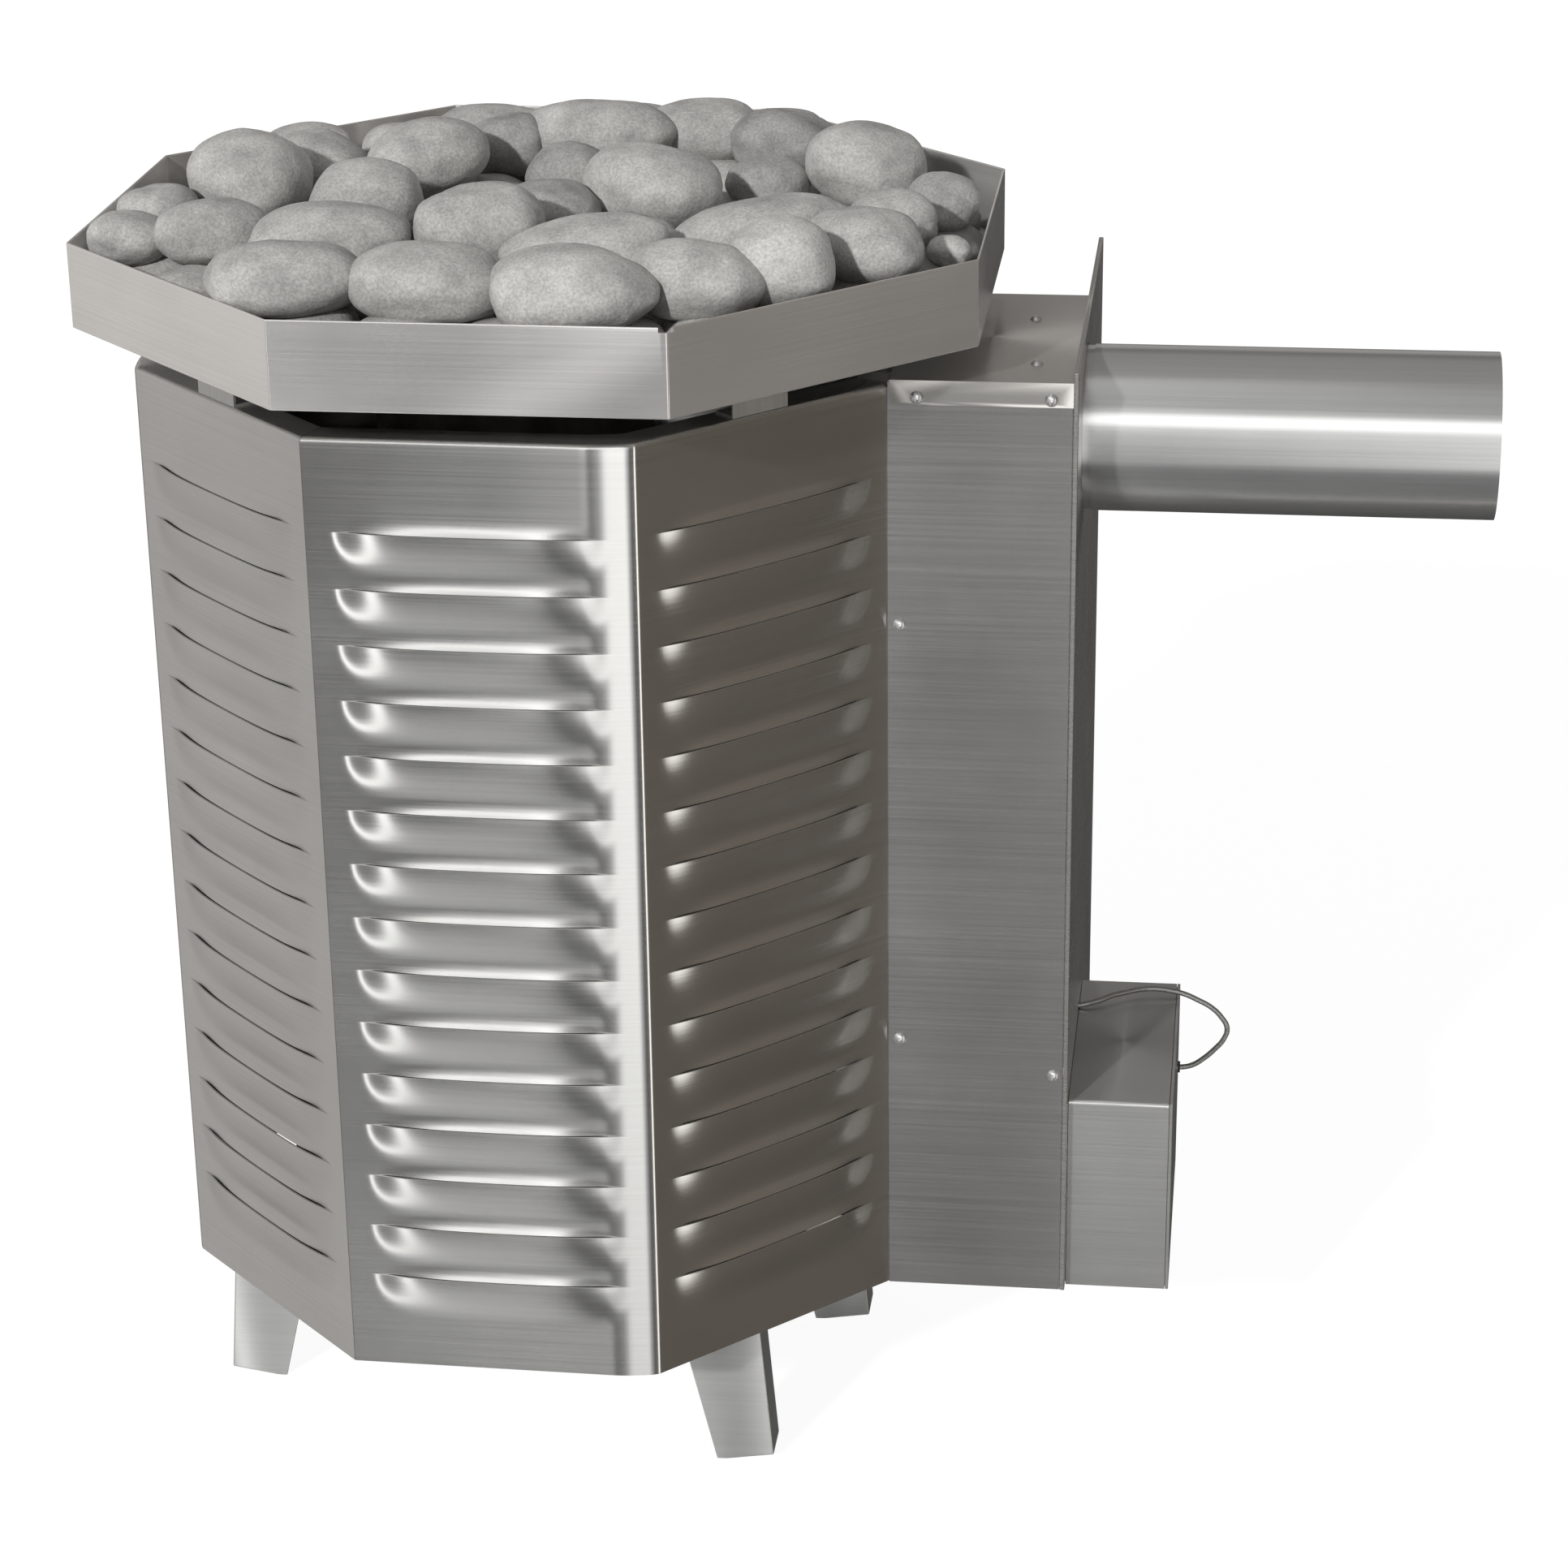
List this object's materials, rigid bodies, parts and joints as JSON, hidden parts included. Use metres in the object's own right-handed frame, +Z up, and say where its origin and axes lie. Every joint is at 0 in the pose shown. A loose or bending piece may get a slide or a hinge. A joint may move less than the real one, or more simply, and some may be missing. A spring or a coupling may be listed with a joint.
{
  "type": "sauna heater stove",
  "caption": "Gas sauna heater: octagonal louvred steel jacket with a tray of stones, and a neck through the wall to a vent pipe and control box.",
  "frame": {"origin": "on the floor below the middle of the whole stove, from the tray's edge to the vent pipe's end", "axes": "+X from the stove to the wall and along the vent pipe, +Y away from the front face, +Z up"},
  "size_m": [0.846, 0.54, 0.8348],
  "materials": {
    "stainless": "brushed along the sheet, slightly warm, with bright folds",
    "inner_steel": "mill finish sheet",
    "pipe_steel": "brushed along the pipe",
    "fastener": "plain bright steel",
    "stone": "grey river stones, matt and finely speckled",
    "firebox_steel": "heat-darkened steel",
    "shield_steel": "plain aluminised sheet",
    "gas_pipe": "black gas pipe",
    "brass": "turned brass",
    "copper": "drawn copper",
    "ceramic": "glazed white insulator",
    "wire_cover": "red silicone insulation",
    "valve_body": "die-cast, as moulded",
    "knob_plastic": "black phenolic",
    "button_plastic": "red gloss",
    "lead_steel": "dull grey capillary",
    "grommet_rubber": "black rubber"
  },
  "bodies": {
    "stove": {"jacket_front": "stainless", "jacket_left": "stainless", "jacket_back": "stainless", "jacket_neck_side": "stainless", "seam_strips": "inner_steel", "base_pan": "inner_steel", "legs": "stainless", "leg_bolts": "fastener", "tray_stands": "inner_steel", "tray_rim": "stainless", "tray_bearers": "inner_steel", "tray_grate": "inner_steel", "stones_bed": "stone", "stones_front": "stone", "stones_middle": "stone", "stones_back": "stone", "neck_frame": "inner_steel", "neck_front": "stainless", "neck_back": "stainless", "neck_cover": "stainless", "neck_floor": "stainless", "neck_screws": "fastener", "flue_strap": "inner_steel", "wall_plate": "stainless", "vent_pipe": "pipe_steel", "firebox": "firebox_steel", "firebox_feet": "firebox_steel", "flue_hood": "firebox_steel", "baffles": "firebox_steel", "heat_shield": "shield_steel", "burner_rack": "firebox_steel", "burner_tubes": "firebox_steel", "gas_manifold": "gas_pipe", "gas_orifices": "brass", "feed_pipe": "gas_pipe", "pilot_bracket": "firebox_steel", "pilot_burner": "brass", "thermocouple": "copper", "spark_electrode": "ceramic", "pilot_tube": "shield_steel", "thermocouple_lead": "copper", "ignition_wire": "wire_cover", "gas_valve": "valve_body", "inlet_nipple": "gas_pipe", "valve_panel": "inner_steel", "igniter_body": "knob_plastic", "limit_switch": "knob_plastic", "box_body": "stainless", "box_end_plate": "stainless", "cover_clips": "fastener", "sensor_lead": "lead_steel", "lead_grommets": "grommet_rubber", "sensor_bulb": "copper", "bulb_clip": "inner_steel"},
    "cover": {"box_cover": "stainless"},
    "knob_turn": {"knob_detent_ring": "brass"},
    "knob_push": {"gas_knob": "knob_plastic", "knob_spindle": "fastener"},
    "button": {"igniter_button": "button_plastic"}
  },
  "joints": [
    {"name": "cover_draws_off", "type": "slide", "parent": "stove", "child": "cover", "axis": [0, -1, 0], "range_m": [0, 0.19]},
    {"name": "knob_turns", "type": "hinge", "parent": "stove", "child": "knob_turn", "pos_m": [0.207, -0.06, 0.1825], "axis": [0, -1, 0], "range_deg": [0, 90]},
    {"name": "knob_pushes", "type": "slide", "parent": "knob_turn", "child": "knob_push", "axis": [0, 1, 0], "range_m": [0, 0.004], "stiffness_N_per_m": 1500, "springref_m": -0.002},
    {"name": "igniter_pushes", "type": "slide", "parent": "stove", "child": "button", "axis": [0, 1, 0], "range_m": [0, 0.006], "stiffness_N_per_m": 800, "springref_m": -0.003}
  ]
}
